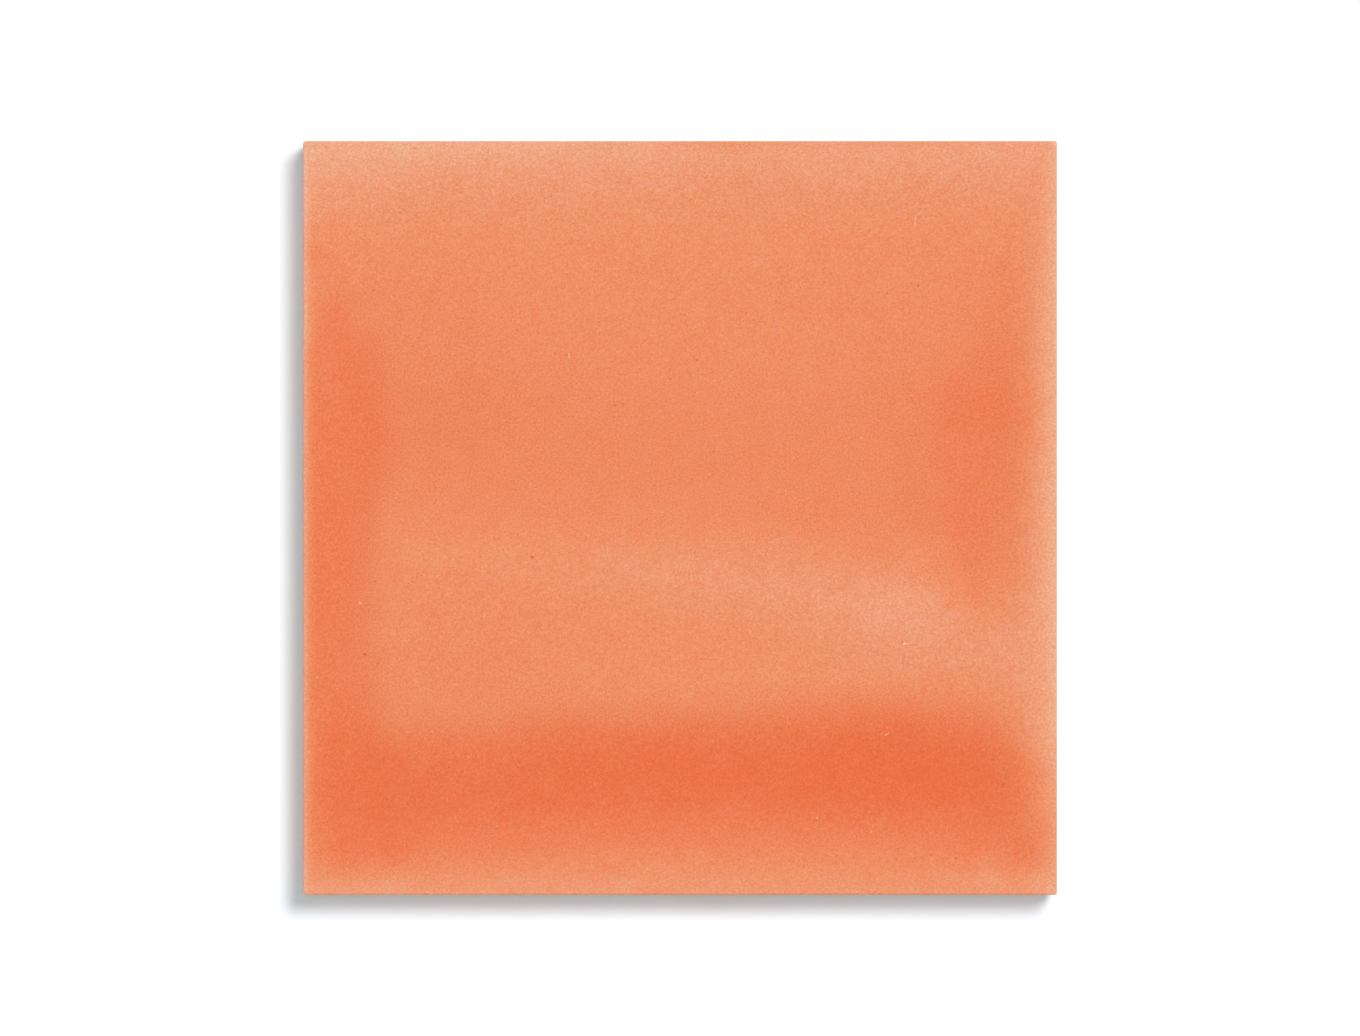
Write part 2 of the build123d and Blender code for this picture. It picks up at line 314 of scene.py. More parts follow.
FACE_MARKS = {
    "pale hair, upper left": Mark(-14.72, 21.5, 0.42, 0.09, 90, -0.17),
    "shade left of the hair": Mark(-14.95, 21.6, 0.3, 0.1, 90, 0.05),
    "shade right of the hair": Mark(-14.48, 21.7, 0.3, 0.09, 95, 0.04),
    "fleck below the hair": Mark(-13.3, 17.8, 0.17, 0.14, 0, -0.05),
    "tick in the middle": Mark(2.35, 16.5, 0.24, 0.1, 90, -0.09),
    "fleck left of the middle": Mark(-10.05, 11.55, 0.18, 0.12, 0, -0.06),
    "curl, lower part": Mark(31.2, 39.5, 0.75, 0.11, 81, -0.15),
    "curl, upper part": Mark(31.85, 40.5, 0.45, 0.09, 35, -0.11),
    "shade of the curl": Mark(30.95, 39.4, 0.5, 0.1, 81, 0.03),
    "bright fleck on the ridge": Mark(29.75, -16.7, 0.18, 0.11, 35, -0.24),
    "shade over the bright fleck": Mark(29.45, -16.55, 0.17, 0.12, 0, 0.09),
    "shade under the bright fleck": Mark(30.05, -16.9, 0.17, 0.12, 0, 0.08),
    "stroke in the pool": Mark(27.45, -28.7, 0.42, 0.11, 30, -0.19),
    "streak over the stroke": Mark(27.95, -27.75, 0.32, 0.11, 95, -0.08),
    "fleck beside the streak": Mark(27.45, -27.8, 0.16, 0.1, 80, -0.035),
    "tick low in the pool": Mark(18.2, -39.85, 0.2, 0.1, 105, -0.21),
    "shade of the low tick": Mark(18.0, -40.0, 0.2, 0.12, 90, 0.09),
    "fleck beside the low tick": Mark(17.5, -39.1, 0.17, 0.12, 20, -0.08),
    "fleck under the pool": Mark(25.4, -41.6, 0.18, 0.11, 65, -0.24),
    "fleck over it": Mark(25.65, -40.9, 0.16, 0.11, 80, -0.12),
    "small fleck in the pool": Mark(25.6, -38.2, 0.17, 0.1, 10, -0.08),
    "smaller fleck in the pool": Mark(25.05, -39.0, 0.14, 0.12, 0, -0.13),
    "iron speck 1": Mark(2.25, 20.96, 0.2, 0.14, 0, 0.12),
    "iron speck 2": Mark(0.66, 26.93, 0.16, 0.14, 0, 0.11),
    "iron speck 3": Mark(-16.6, 21.8, 0.17, 0.14, 0, 0.12),
    "iron speck 4": Mark(-1.33, 19.76, 0.15, 0.13, 0, 0.11),
    "iron speck 5": Mark(-1.33, 18.44, 0.15, 0.13, 0, 0.07),
    "iron speck 6": Mark(4.38, 19.37, 0.16, 0.13, 0, 0.08),
    "iron speck 7": Mark(-11.94, 15.92, 0.16, 0.14, 0, 0.075),
    "iron speck 8": Mark(-8.62, 14.99, 0.2, 0.15, 0, 0.08),
    "iron speck 9": Mark(-7.56, 15.12, 0.18, 0.14, 0, 0.09),
    "iron speck 10": Mark(7.83, 16.45, 0.16, 0.13, 0, 0.08),
    "iron speck 11": Mark(-37.14, 43.11, 0.17, 0.14, 0, 0.07),
    "iron speck 12": Mark(-35.15, 49.08, 0.2, 0.14, 0, 0.12),
    "iron speck 13": Mark(-46.95, 49.21, 0.2, 0.14, 0, 0.065),
    "iron speck 14": Mark(-31.3, 39.5, 0.16, 0.14, 0, 0.13),
    "iron speck 15": Mark(-19.6, -5.2, 0.18, 0.15, 0, 0.24),
    "iron speck 16": Mark(31.6, 30.8, 0.16, 0.14, 0, 0.16),
    "iron speck 17": Mark(27.5, 29.8, 0.16, 0.14, 0, 0.11),
    "iron speck 18": Mark(8.9, 41.9, 0.22, 0.16, 20, 0.04),
    "iron speck 19": Mark(17.0, -41.9, 0.16, 0.14, 0, 0.11),
    "iron speck 20": Mark(-41.8, -18.1, 0.18, 0.15, 0, 0.27),
    "iron speck 21": Mark(-30.6, -33.1, 0.18, 0.14, 0, 0.11),
    "iron speck 22": Mark(33.2, -44.7, 0.16, 0.14, 0, 0.14),
    "iron speck 23": Mark(36.6, -45.2, 0.17, 0.14, 0, 0.19),
    "iron speck 24": Mark(42.8, -35.3, 0.15, 0.13, 0, 0.15),
    "iron speck 25": Mark(-40.5, -8.4, 0.15, 0.12, 0, 0.11),
    "iron speck 26": Mark(-40.0, -19.3, 0.15, 0.12, 0, 0.09),
    "iron speck 27": Mark(4.4, 8.8, 0.15, 0.12, 0, 0.12),
    "iron speck 28": Mark(1.6, 5.2, 0.15, 0.12, 0, 0.11),
    "iron speck 29": Mark(-38.8, 39.3, 0.15, 0.12, 0, 0.08),
    "fleck beside the left channel, 1": Mark(-42.4, -11.3, 0.18, 0.12, 0, -0.22),
    "fleck beside the left channel, 2": Mark(-36.0, -12.0, 0.14, 0.12, 0, -0.09),
    "fleck in the left channel, 1": Mark(-47.6, -11.2, 0.18, 0.13, 0, -0.12),
    "fleck in the left channel, 2": Mark(-48.1, -21.1, 0.15, 0.12, 0, -0.17),
    "fleck near the top left corner": Mark(-39.1, 47.9, 0.16, 0.12, 0, -0.04),
    "fleck right of the middle": Mark(15.0, 8.0, 0.22, 0.17, 0, -0.07),
    "fleck in the middle, 1": Mark(3.9, 5.8, 0.17, 0.15, 0, -0.09),
    "fleck in the middle, 2": Mark(4.0, 1.5, 0.16, 0.14, 0, -0.07),
    "fleck in the middle, 3": Mark(-2.3, 0.8, 0.13, 0.11, 0, -0.12),
    "fleck low on the left, 1": Mark(-28.1, -31.7, 0.14, 0.12, 0, -0.2),
    "fleck low on the left, 2": Mark(-43.4, -25.1, 0.14, 0.11, 0, -0.16),
    "fleck low on the left, 3": Mark(-24.4, -28.3, 0.16, 0.1, 100, -0.14),
    "fleck low on the left, 4": Mark(-18.2, -41.0, 0.14, 0.11, 20, -0.13),
    "fleck low on the left, 5": Mark(-49.1, -31.0, 0.14, 0.11, 0, -0.12),
    "fleck in the middle of the field": Mark(-21.8, -16.3, 0.14, 0.11, 0, -0.1),
    "fleck over the pool": Mark(24.7, -19.5, 0.13, 0.11, 0, -0.11),
    "fleck at the bottom edge": Mark(23.5, -49.6, 0.2, 0.12, 0, -0.1),
    "brown line, upper left": Mark(-44.6, 42.6, 0.4, 0.07, 35, 0.09),
}

MARK_RIM = 1.3  # where the soft edge of a mark ends outside, in its half length and width
MARK_CORE = 0.55  # where it ends inside
IRON_DARKENING = 0.45  # share of every colour that a dark mark takes up for each millimetre of gain

# Unevenness all over the glaze, in millimetres of thickness
CLOUD_GLAZE = 0.05
GRAIN_GLAZE = 0.2
SPECK_GLAZE = 0.09
PINHOLE_GLAZE = -0.12

# Grain in the colour itself: its light and dark, and the green and the blue channel on their own
SHADE_GRAIN = -0.18
SHADE_OF_GLAZE_GRAIN = 0.5  # how far that light and dark follows the grain of the glaze
GREEN_GRAIN = 0.44
BLUE_GRAIN = 0.6
DARKEST_CHANNEL = 0.004

# Surface of the glaze and of the clay, in millimetres, and how far their roughness wanders
PEEL_HEIGHT = 0.012
PINHOLE_DEPTH = 0.03
GRIT_HEIGHT = 0.04
GLAZE_ROUGHNESS_RANGE = 0.08
CLAY_ROUGHNESS_FALL = 0.06
CLAY_ROUGHNESS_RISE = 0.05

# Bare clay: its tone in the clouds and what the grit and the iron do to it, and its tint
NOISE_LOW = 0.3  # a noise pattern lies nearly all between these two
NOISE_HIGH = 0.7
CLOUD_TONE = (0.94, 1.0)
GRIT_TONE = (-0.05, 0.03)
IRON_TONE = -0.35
BARE_CLAY_TINT = (0.98, 0.94, 0.86)  # against the clay under the glaze


class Wave(NamedTuple):
    """A soft-edged trough of the face, or a ridge where its depth is negative, as in the solid."""

    start: tuple
    end: tuple
    half_width: float
    softness: float
    depth: float


FACE_WAVES = {
    "long channel": Wave((-41, -34.5), (36, -34.5), 7.5, 1.8, 0.3),
    "side channel": Wave((-44.5, 26), (-44.5, -30), 3.6, 1.2, 0.16),
    "side pool": Wave((40.5, 18), (40.5, -4), 4.5, 1.6, 0.15),
    "middle dish": Wave((-32, 8), (32, 8), 10, 4, 0.1),
    "ridge": Wave((-28, -5.5), (40, -16.5), 3, 2, -0.06),
    "knoll": Wave((25.5, -12.5), (30.5, -12.5), 2.8, 1.6, -0.05),
}
FIELD_DEPTH = 0.12  # how far the whole field lies below the rim
RIM_WIDTH = 1.5
RIM_FALL = 7.0  # how far inside the rim the waves have their full depth

# Fine ripple of the face
RIPPLE_SEED = 5
RIPPLE_LENGTHS = (9, 14, 23)
RIPPLE_WAVES = 5  # waves of each length
RIPPLE_HEIGHT = 0.006
RIPPLE_SINK = 0.012  # how far the face lies lower, to keep the crests under the solid's face
RIPPLE_FADE = 3  # how far inside the arris the ripple has its full height

# Lower edge of the glaze: low waves round the sides, and a few runs
LIP_SEED = 11
LIP_WAVES = (1, 2, 3, 5, 8, 13, 21, 34)  # waves in one round of the tile
LIP_WAVE_HEIGHT = 0.33
LIP_WAVE_DECAY = 0.45  # power by which the shorter waves are lower
LIP_RUNS = 7
LIP_RUN_WIDTH = (0.005, 0.012)  # shares of the way round
LIP_RUN_DROP = (0.3, 0.8)
LIP_ABOVE_BACK = 0.7  # least room left to the back
LIP_BELOW_ARRIS = 1.0  # least room left to the arris

# Mesh of the face and the back
GRID = 96  # steps from the middle of a side to its corner
GRADING = 0.7  # how much finer the steps are at the edge of the face than in its middle
CORNER_RINGS = 10  # outermost rings of the face, over which its plan corners round off
BORDER_SPACINGS = (6.6, 5.0, 3.6, 2.4, 1.5, 1.0)  # steps across the plain border of the back
BORDER_STEPS = len(BORDER_SPACINGS)
POCKET_FLAT = 0.35  # the level part of a pocket's floor ends this far inside the floor's edge
FLOOR_RINGS = ((-0.12, 0.975), (0.03, 0.86))  # out from the floor's edge, share of the depth
MOUTH_RINGS = ((-0.06, 0.12), (0.08, 0.015), (0.35, 0.0))  # out from the mouth, share of the depth
LAST_RING_CORNER = 0.8  # corner of the outermost of them, as a share of the pocket's

# Mesh of the sides, where a blend of 0 keeps the face's spacing along the edge and 1 the back's
ARRIS_ROWS = 8
WALL_STEPS = (0.2, 0.42, 0.64, 0.83)  # shares of the way from the arris to the bead
WALL_BLEND = 0.15
BEAD_TOP = 0.45  # above the lower edge of the glaze
BEAD_ROWS = ((0.22, -0.03, 0.25), (0.08, -0.02, 0.22), (0.0, 0.05, 0.12))  # height, inset, glaze
BEAD_BLEND = 0.2
CLAY_STEPS = (0.03, 0.35, 0.7)  # shares of the way from the bead to the clay's last height
CLAY_BLEND = 0.6
CLAY_LAST_HEIGHT = 0.35  # above the back
FOOT_ROUNDING = 0.25  # of the edge of the back
FOOT_ROWS = ((FOOT_ROUNDING, 0.0), (0.12, 0.04), (0.03, 0.13))  # height, inset

# Layout of the bake map, in shares of its side
MAP_GAP = 0.004
MAP_FACE = 0.764
MAP_BACK = 0.222
MAP_STRIP = 0.05

# The floor: its tint as the camera sees it, which takes the tile's orange out of the shadow,
# and the share of light that it throws back on to the tile
FLOOR_TINT = (0.967, 1.035, 1.09)
FLOOR_BOUNCE = 0.85

CAMERA_SENSOR = 36.0  # millimetres
CAMERA_CLIP = (0.01, 20.0)

TINY = 1e-9  # keeps a division at the middle of a grid from failing
HUGE = 1e6
STEEPEST = 40  # largest exponent of a soft edge


def soft_stroke(x, y, stroke):
    """How much of a stroke lies at each place: 1 well inside it, 0 well outside."""
    nearest = np.full_like(x, HUGE)
    for (ax, ay, ar), (bx, by, br) in zip(stroke.points, stroke.points[1:]):
        dx, dy = bx - ax, by - ay
        share = np.clip(((x - ax) * dx + (y - ay) * dy) / (dx * dx + dy * dy), 0, 1)
        outside = np.hypot(x - ax - share * dx, y - ay - share * dy) - (ar + share * (br - ar))
        nearest = np.minimum(nearest, outside)
    return 1 / (1 + np.exp(np.clip(nearest / stroke.softness, -STEEPEST, STEEPEST)))


def glaze_on_face(x, y, half):
    """Thickness of the glaze over the face."""
    glaze = np.full_like(x, GLAZE_BASE)
    for stroke in GLAZE_STROKES.values():
        glaze += stroke.gain * soft_stroke(x, y, stroke)
    inside = {"left": x + half, "right": half - x, "bottom": y + half, "top": half - y}
    loss = np.zeros_like(x)
    for side, most, reach, power in GLAZE_THINNING:
        depth = np.clip(inside[side], 0, None) / reach
        loss = np.maximum(loss, most * np.exp(-(depth**power)))
    return glaze * (1 - loss)


def face_dip(x, y, half):
    """How far the face lies below its level rim."""
    dip = np.full_like(x, FIELD_DEPTH)
    for wave in FACE_WAVES.values():
        line = ((*wave.start, wave.half_width), (*wave.end, wave.half_width))
        dip += wave.depth * soft_stroke(x, y, Stroke(1, wave.softness, line))
    from_edge = half - np.maximum(abs(x), abs(y))
    fall = np.clip((from_edge - RIM_WIDTH) / RIM_FALL, 0, 1)
    return dip * (1 - np.cos(pi * fall)) / 2


def ripples(x, y):
    """Fine ripple of the face: a sum of plain waves in seeded directions."""
    random = np.random.default_rng(RIPPLE_SEED)
    total = np.zeros_like(x)
    for length in RIPPLE_LENGTHS:
        for _ in range(RIPPLE_WAVES):
            turn, phase = random.uniform(0, 2 * pi, 2)
            total += np.sin(2 * pi * (x * np.cos(turn) + y * np.sin(turn)) / length + phase)
    return RIPPLE_HEIGHT * total / np.sqrt(RIPPLE_WAVES / 2 * len(RIPPLE_LENGTHS))


def ring_places(i, j, share, half, radius):
    """Places on rounded squares, one for each grid index (i, j).

    share is how far along its half side a point lies, from 0 at the middle to 1 at the
    corner, half is the square's half side there and radius its corner radius.
    """
    straight = half - radius
    along = share * (straight + radius * pi / 4)
    turn = np.where(radius > 0, np.clip(along - straight, 0, None) / np.maximum(radius, TINY), 0)
    out = straight + radius * np.cos(turn)
    side = np.minimum(along, straight) + radius * np.sin(turn)
    on_x = abs(i) >= abs(j)
    x = np.where(on_x, out, side) * np.sign(i)
    y = np.where(on_x, side, out) * np.sign(j)
    return x, y


def graded_line(half):
    """Places of the face's grid lines from the middle to the edge, finer towards the edge."""
    share = np.arange(GRID + 1) / GRID
    return half * ((1 - GRADING) * share + GRADING * np.sin(pi * share / 2))


def shares_on_ring(i, j, line):
    """How far along its half side each index lies, from the grid lines' places."""
    outer = np.maximum(abs(i), abs(j))
    inner = np.minimum(abs(i), abs(j))
    return np.where(outer > 0, line[inner] / np.maximum(line[outer], TINY), 0)


def cap_indices():
    """Grid indices of a cap from its middle, and the ring that each one lies on."""
    run = np.arange(-GRID, GRID + 1)
    i, j = np.meshgrid(run, run, indexing="ij")
    return i, j, np.maximum(abs(i), abs(j))


def face_cap(mm):
    """Vertices of the face inside its arris, as a grid."""
    i, j, outer = cap_indices()
    edge = mm.half - mm.arris
    line = graded_line(edge)
    radius = np.interp(outer, [GRID - CORNER_RINGS, GRID], [0, mm.corner])
    x, y = ring_places(i, j, shares_on_ring(i, j, line), line[outer], radius)
    fade = np.clip((edge - np.maximum(abs(x), abs(y))) / RIPPLE_FADE, 0, 1)
    z = mm.thickness - face_dip(x, y, mm.half) - fade * (RIPPLE_SINK + ripples(x, y))
    return x, y, z


def back_line(mm):
    """Places of the back's grid lines: even over the key pattern, closing up over its border."""
    cells = np.linspace(0, mm.key_half, GRID - BORDER_STEPS + 1)
    done = np.cumsum(BORDER_SPACINGS) / np.sum(BORDER_SPACINGS)
    return np.concatenate([cells, mm.key_half + (mm.back_half - mm.key_half) * done])


def pocket_rings(mm, half_cell):
    """Half side, share of the depth and corner radius of each ring round a pocket's middle."""
    mouth = (mm.key_pitch - mm.key_land) / 2
    lean = mm.key_depth * tan(mm.key_draft)
    floor = mouth - lean
    floor_corner = mm.key_corner - lean
    level = half_cell - len(FLOOR_RINGS) - len(MOUTH_RINGS)
    sizes = [
        *np.linspace(0, floor - POCKET_FLAT, level),
        *(floor + out for out, _ in FLOOR_RINGS),
        *(mouth + out for out, _ in MOUTH_RINGS),
        mm.key_pitch / 2,
    ]
    depths = [1.0] * level + [depth for _, depth in FLOOR_RINGS + MOUTH_RINGS] + [0.0]
    corners = [
        *np.linspace(0, floor_corner, level),
        *[floor_corner] * len(FLOOR_RINGS),
        *[mm.key_corner] * (len(MOUTH_RINGS) - 1),
        mm.key_corner * LAST_RING_CORNER,
        0.0,
    ]
    return np.array(sizes), np.array(depths), np.array(corners)


def back_cap(mm):
    """Vertices of the back, with its key pattern, as a grid."""
    i, j, outer = cap_indices()
    line = back_line(mm)
    radius = np.where(outer == GRID, mm.corner, 0)
    x, y = ring_places(i, j, shares_on_ring(i, j, line), line[outer], radius)
    reach = GRID - BORDER_STEPS
    per_cell = 2 * reach // mm.key_rows
    half_cell = per_cell // 2
    cell_i = np.clip((i + reach) // per_cell, 0, mm.key_rows - 1)
    cell_j = np.clip((j + reach) // per_cell, 0, mm.key_rows - 1)
    u = i + reach - cell_i * per_cell - half_cell
    v = j + reach - cell_j * per_cell - half_cell
    ring = np.clip(np.maximum(abs(u), abs(v)), 0, half_cell)
    share = np.where(ring > 0, np.minimum(abs(u), abs(v)) / np.maximum(ring, 1), 0)
    sizes, depths, corners = pocket_rings(mm, half_cell)
    pocket_x, pocket_y = ring_places(u, v, share, sizes[ring], corners[ring])
    centre_x = (cell_i - (mm.key_rows - 1) / 2) * mm.key_pitch
    centre_y = (cell_j - (mm.key_rows - 1) / 2) * mm.key_pitch
    in_pattern = outer <= reach
    x = np.where(in_pattern, centre_x + pocket_x, x)
    y = np.where(in_pattern, centre_y + pocket_y, y)
    z = np.where(in_pattern, mm.key_depth * depths[ring], 0.0)
    return x, y, z


def boundary_indices():
    """Grid indices round the edge of a cap, anticlockwise from its lower left corner."""
    run = np.arange(-GRID, GRID)
    flat = np.full_like(run, GRID)
    i = np.concatenate([run, flat, -run, -flat])
    j = np.concatenate([-flat, run, flat, -run])
    return i, j


class Millimetres:
    """The tile's sizes in millimetres, with those worked out from them."""

    def __init__(self, sizes):
        for name in (
            "width", "thickness", "arris", "corner", "joint_edge", "glaze_skin", "glaze_stop",
            "key_border", "key_land", "key_depth", "key_corner",
        ):
            setattr(self, name, getattr(sizes, name) / MM)
        self.draft, self.key_draft, self.key_rows = sizes.draft, sizes.key_draft, sizes.key_rows
        self.half = self.width / 2
        self.draft_height = self.thickness - self.arris - self.joint_edge
        self.back_inset = self.draft_height * tan(self.draft)
        across = self.width - 2 * (self.back_inset + self.key_border)
        self.key_pitch = (across + self.key_land) / self.key_rows
        self.key_half = self.key_pitch * self.key_rows / 2
        self.back_half = self.half - self.back_inset - self.glaze_skin - FOOT_ROUNDING


def glaze_lip(place, mm):
    """Height above the back where the glaze ends, at each place round the side (0 to 1)."""
    random = np.random.default_rng(LIP_SEED)
    lip = np.full_like(place, mm.glaze_stop)
    for turns in LIP_WAVES:
        height = LIP_WAVE_HEIGHT / turns**LIP_WAVE_DECAY
        lip += height * np.sin(2 * pi * (turns * place + random.uniform()))
    for _ in range(LIP_RUNS):
        middle = random.uniform()
        width = random.uniform(*LIP_RUN_WIDTH)
        drop = random.uniform(*LIP_RUN_DROP)
        away = (place - middle + 0.5) % 1 - 0.5
        lip -= drop * np.exp(-((away / width) ** 2))
    return np.clip(lip, LIP_ABOVE_BACK, mm.thickness - mm.arris - LIP_BELOW_ARRIS)


def side_rows(mm):
    """Rows of places down the side, from under the face's edge to just above the back's.

    Returns the rows, the row at which the bare clay starts, and the glaze on each row.
    """
    i, j = boundary_indices()
    face_share = shares_on_ring(i, j, graded_line(mm.half - mm.arris))
    back_share = shares_on_ring(i, j, back_line(mm))
    lip = glaze_lip(np.arange(len(i)) / len(i), mm)
    rows, glaze = [], []

    def add_row(z, half, share):
        """Adds a row at height z, on a rounded square with the given half side."""
        height, half = np.full_like(lip, z), np.full_like(lip, half)
        x, y = ring_places(i, j, share, half, np.full_like(lip, mm.corner))
        rows.append((x, y, height))

    def add_wall(z, inset, blend, thickness):
        """Adds a row at height z, where inset is how far it lies inside the glazed side."""
        draft = np.clip(mm.draft_height - z, 0, None) * tan(mm.draft)
        add_row(z, mm.half - draft - inset, (1 - blend) * face_share + blend * back_share)
        glaze.append(np.full_like(lip, thickness))

    for row in range(1, ARRIS_ROWS + 1):
        turn = pi / 2 * row / ARRIS_ROWS
        z = mm.thickness - mm.arris * (1 - np.cos(turn))
        add_row(z, mm.half - mm.arris * (1 - np.sin(turn)), face_share)
        glaze.append(glaze_on_face(rows[-1][0], rows[-1][1], mm.half))
    shoulder = mm.thickness - mm.arris
    arris_glaze = glaze[-1]
    lower_glaze = LOWER_SIDE_GLAZE + GLAZE_OF_A_RUN * (mm.glaze_stop - lip)
    for step in WALL_STEPS:
        z = shoulder + step * (lip + BEAD_TOP - shoulder)
        add_wall(z, 0.0, WALL_BLEND * step, arris_glaze * (1 - step) + step * lower_glaze)
    for above, inset, thickness in ((BEAD_TOP, 0.0, lower_glaze), *BEAD_ROWS):
        add_wall(lip + above, inset, BEAD_BLEND, thickness)
    bare_from = len(rows) - 1
    for step in CLAY_STEPS:
        z = lip * (1 - step) + step * CLAY_LAST_HEIGHT
        add_wall(z, mm.glaze_skin, BEAD_BLEND + CLAY_BLEND * step, 0.0)
    for z, inset in FOOT_ROWS:
        add_wall(z, mm.glaze_skin + inset, 1.0, 0.0)
    return rows, bare_from, glaze


def laid_flat(cap, half, low, size, turn=1):
    """Places of a cap's vertices in a square of the bake map."""
    u = low[0] + size * (0.5 + turn * cap[0].ravel() / (2 * half))
    v = low[1] + size * (0.5 + cap[1].ravel() / (2 * half))
    return np.stack([u, v], 1)


def side_strips(line, down):
    """Places of the side quads' corners in the bake map: one strip a side, above the face's square."""
    along = np.concatenate([-line[::-1], line[1:]]) / line[-1]
    u = MAP_GAP + MAP_FACE * (1 + along) / 2
    left, right = np.tile(u[:-1], 4), np.tile(u[1:], 4)
    strip = np.repeat(np.arange(4), 2 * GRID)
    top = 1 - MAP_GAP - strip * (MAP_STRIP + MAP_GAP)
    corners = []
    for above, below in zip(down, down[1:]):
        upper, lower = top - MAP_STRIP * above / down[-1], top - MAP_STRIP * below / down[-1]
        corners.append(np.stack([left, upper, left, lower, right, lower, right, upper], 1))
    return np.concatenate(corners).reshape(-1, 4, 2)


def cap_quads(grid):
    """Quads between the vertices of a grid."""
    corners = [grid[:-1, :-1], grid[1:, :-1], grid[1:, 1:], grid[:-1, 1:]]
    return np.stack(corners, -1).reshape(-1, 4)


def bake_places(mm, face, back, quads, drops):
    """Places of every quad's corners in the bake map, where drops are the heights of the side rows."""
    flat_face = laid_flat(face, mm.half, (MAP_GAP, MAP_GAP), MAP_FACE)
    flat_back = laid_flat(back, mm.half, (2 * MAP_GAP + MAP_FACE, MAP_GAP), MAP_BACK, -1)
    strips = side_strips(graded_line(mm.half - mm.arris), np.cumsum([0.0, *drops]))
    return np.concatenate([flat_face[quads], flat_back[quads[:, ::-1]], strips])


def tile_mesh(sizes):
    """The tile's mesh: face, sides and back as one closed surface of quads."""
    mm = Millimetres(sizes)
    face, back = face_cap(mm), back_cap(mm)
    rows, bare_from, row_glaze = side_rows(mm)
    parts = [np.stack([axis.ravel() for axis in part], 1) for part in (face, back, *rows)]
    vertices = np.concatenate(parts) * MM

    count = 2 * GRID + 1
    in_cap = count * count
    grid = np.arange(in_cap).reshape(count, count)
    i, j = boundary_indices()
    face_edge = grid[i + GRID, j + GRID]
    rings = [face_edge]
    rings += [2 * in_cap + n * len(i) + np.arange(len(i)) for n in range(len(rows))]
    rings += [in_cap + face_edge]

    face_quads = cap_quads(grid)
    quads = [face_quads, in_cap + face_quads[:, ::-1]]
    bare = [np.full(len(face_quads), False), np.full(len(face_quads), True)]
    for n, (upper, lower) in enumerate(zip(rings, rings[1:])):
        quads.append(np.stack([upper, lower, np.roll(lower, -1), np.roll(upper, -1)], -1))
        bare.append(np.full(len(upper), n > bare_from))
    quads, bare = np.concatenate(quads), np.concatenate(bare)

    face_glaze = glaze_on_face(face[0], face[1], mm.half).ravel()
    glaze = np.concatenate([face_glaze, np.zeros(in_cap), *row_glaze])
    drops = [np.linalg.norm(vertices[a] - vertices[b], axis=1).mean() for a, b in zip(rings, rings[1:])]
    places = bake_places(mm, face, back, face_quads, drops)

    mesh = bpy.data.meshes.new("glazed_tile")
    mesh.from_pydata(vertices.tolist(), [], quads.tolist())
    mesh.uv_layers.new(name="OFBake").data.foreach_set("uv", places.ravel())
    mesh.attributes.new("glaze_mm", "FLOAT", "POINT").data.foreach_set("value", glaze.astype(np.float32))
    mesh.polygons.foreach_set("material_index", bare.astype(np.int32))
    mesh.polygons.foreach_set("use_smooth", np.ones(len(quads), bool))
    mesh.validate()
    mesh.update()
    return mesh


# Materials


class Nodes:
    """A short hand for building the nodes of a material or of the sky."""

    def __init__(self, owner):
        owner.use_nodes = True
        self.owner = owner
        self.tree = owner.node_tree
        self.tree.nodes.clear()

    def add(self, kind, **settings):
        """A new node with its settings."""
        node = self.tree.nodes.new(kind)
        for name, value in settings.items():
            setattr(node, name, value)
        return node

    def wire(self, value, socket):
        """Puts a number, colour or another node's output into a socket."""
        if isinstance(value, bpy.types.NodeSocket):
            self.tree.links.new(value, socket)
        else:
            socket.default_value = value

    def math(self, operation, *values, clamp=False):
        """The result of one sum on numbers or other nodes' outputs."""
        node = self.add("ShaderNodeMath", operation=operation, use_clamp=clamp)
        for socket, value in zip(node.inputs, values):
            self.wire(value, socket)
        return node.outputs[0]

    def noise(self, vector, scale, detail=2.0, roughness=0.5, colour=False):
        """A noise pattern, or three that differ, one for each colour channel."""
        node = self.add("ShaderNodeTexNoise")
        self.wire(vector, node.inputs["Vector"])
        node.inputs["Scale"].default_value = scale
        node.inputs["Detail"].default_value = detail
        node.inputs["Roughness"].default_value = roughness
        if not colour:
            return node.outputs["Fac"]
        split = self.add("ShaderNodeSeparateColor")
        self.wire(node.outputs["Color"], split.inputs[0])
        return split.outputs

    def ramp(self, value, low, high, start=0.0, end=1.0):
        """value taken from low..high to start..end, and held beyond them."""
        node = self.add("ShaderNodeMapRange", interpolation_type="SMOOTHSTEP")
        for socket, number in zip(node.inputs, (value, low, high, start, end)):
            self.wire(number, socket)
        return node.outputs[0]

    def colour_of(self, channels):
        """A colour made of three numbers."""
        colour = self.add("ShaderNodeCombineColor")
        for channel, socket in zip(channels, colour.inputs):
            self.wire(channel, socket)
        return colour.outputs[0]


def millimetre_places(n):
    """Places on the piece in millimetres, for patterns with a scale in marks per millimetre."""
    place = n.add("ShaderNodeTexCoord").outputs["Object"]
    scaled = n.add("ShaderNodeVectorMath", operation="SCALE")
    n.wire(place, scaled.inputs[0])
    scaled.inputs["Scale"].default_value = 1 / MM
    return scaled.outputs[0]


def shifted(n, place, by=(31.0, 17.0, 5.0)):
    """The same places moved aside, for a second pattern that doesn't follow the first."""
    moved = n.add("ShaderNodeVectorMath", operation="ADD")
    n.wire(place, moved.inputs[0])
    moved.inputs[1].default_value = by
    return moved.outputs[0]


